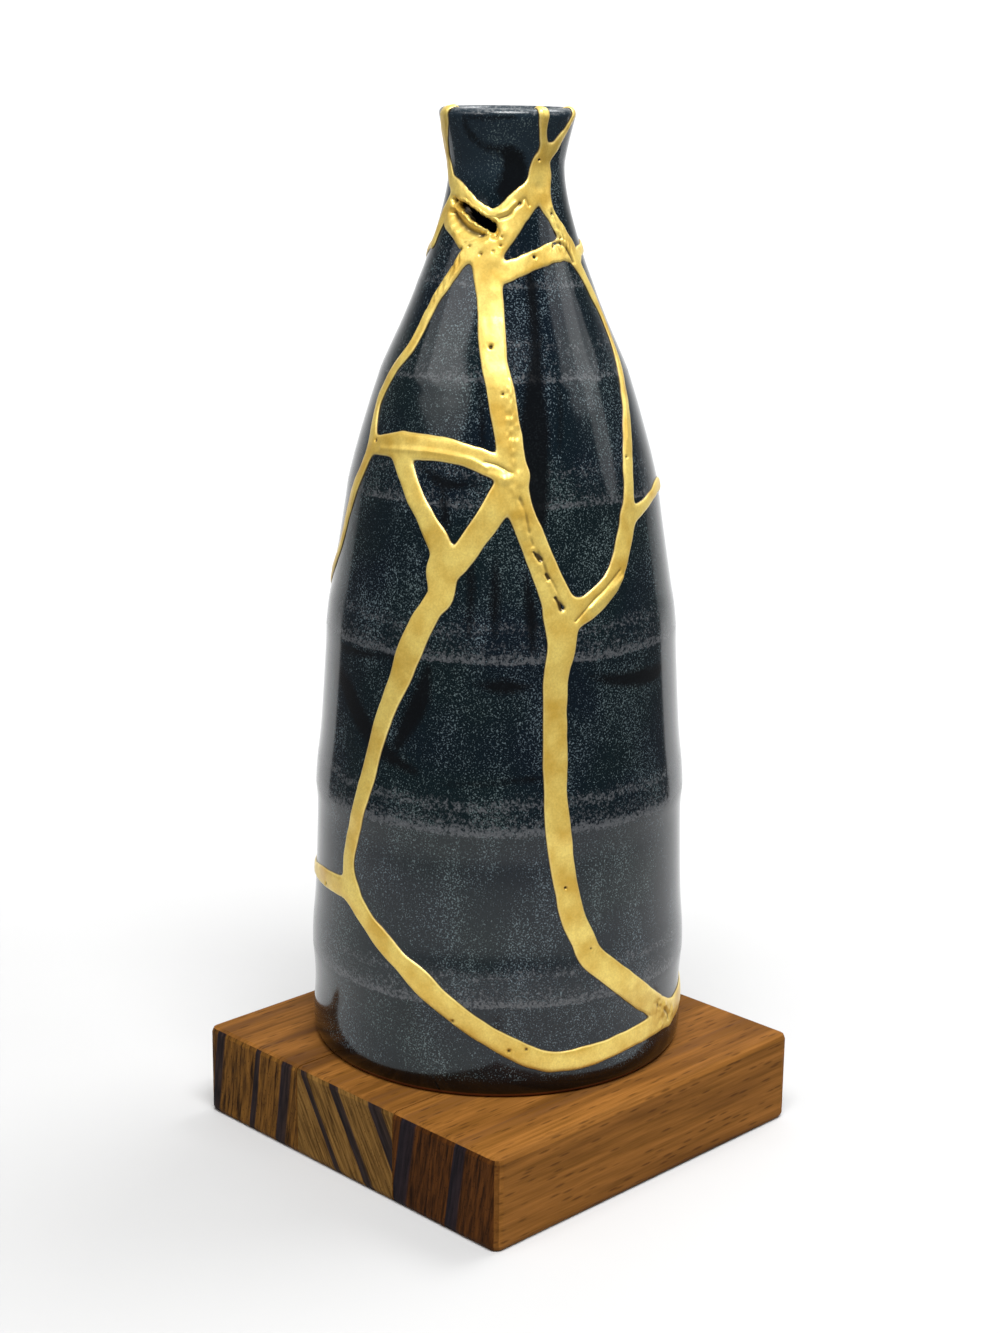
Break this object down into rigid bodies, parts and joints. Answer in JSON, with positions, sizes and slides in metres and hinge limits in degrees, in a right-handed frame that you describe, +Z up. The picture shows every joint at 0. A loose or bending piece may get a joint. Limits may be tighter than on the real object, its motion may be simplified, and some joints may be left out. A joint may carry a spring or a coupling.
{
  "type": "kintsugi vase",
  "caption": "Small bottle vase in dark speckled glaze, broken and mended with raised gold seams, standing on a square glued wooden plinth.",
  "frame": {"origin": "middle of the plinth's underside", "axes": "+Z up; the plinth's sides run along X and Y, its boards along Y; the front of the vase looks between +X and -Y"},
  "size_m": [0.1, 0.1, 0.2415],
  "materials": {
    "glaze": "glossy blue-black glaze with fine pale speckle over stoneware",
    "gold_seam": "satin gold powder on lacquer, smooth and softly rounded",
    "plinth_wood": "planed and oiled striped hardwood"
  },
  "bodies": {
    "root": {"base_shard": "glaze", "body_front_shard": "glaze", "body_left_shard": "glaze", "body_right_shard": "glaze", "small_triangle_shard": "glaze", "shoulder_front_shard": "glaze", "shoulder_left_shard": "glaze", "shoulder_right_shard": "glaze", "shoulder_back_shard": "glaze", "collar_shard": "glaze", "neck_front_shard": "glaze", "neck_rim_sliver": "glaze", "neck_back_shard": "glaze", "gold_seam": "gold_seam", "plinth_board_1": "plinth_wood", "plinth_board_2": "plinth_wood", "plinth_board_3": "plinth_wood"}
  },
  "joints": []
}
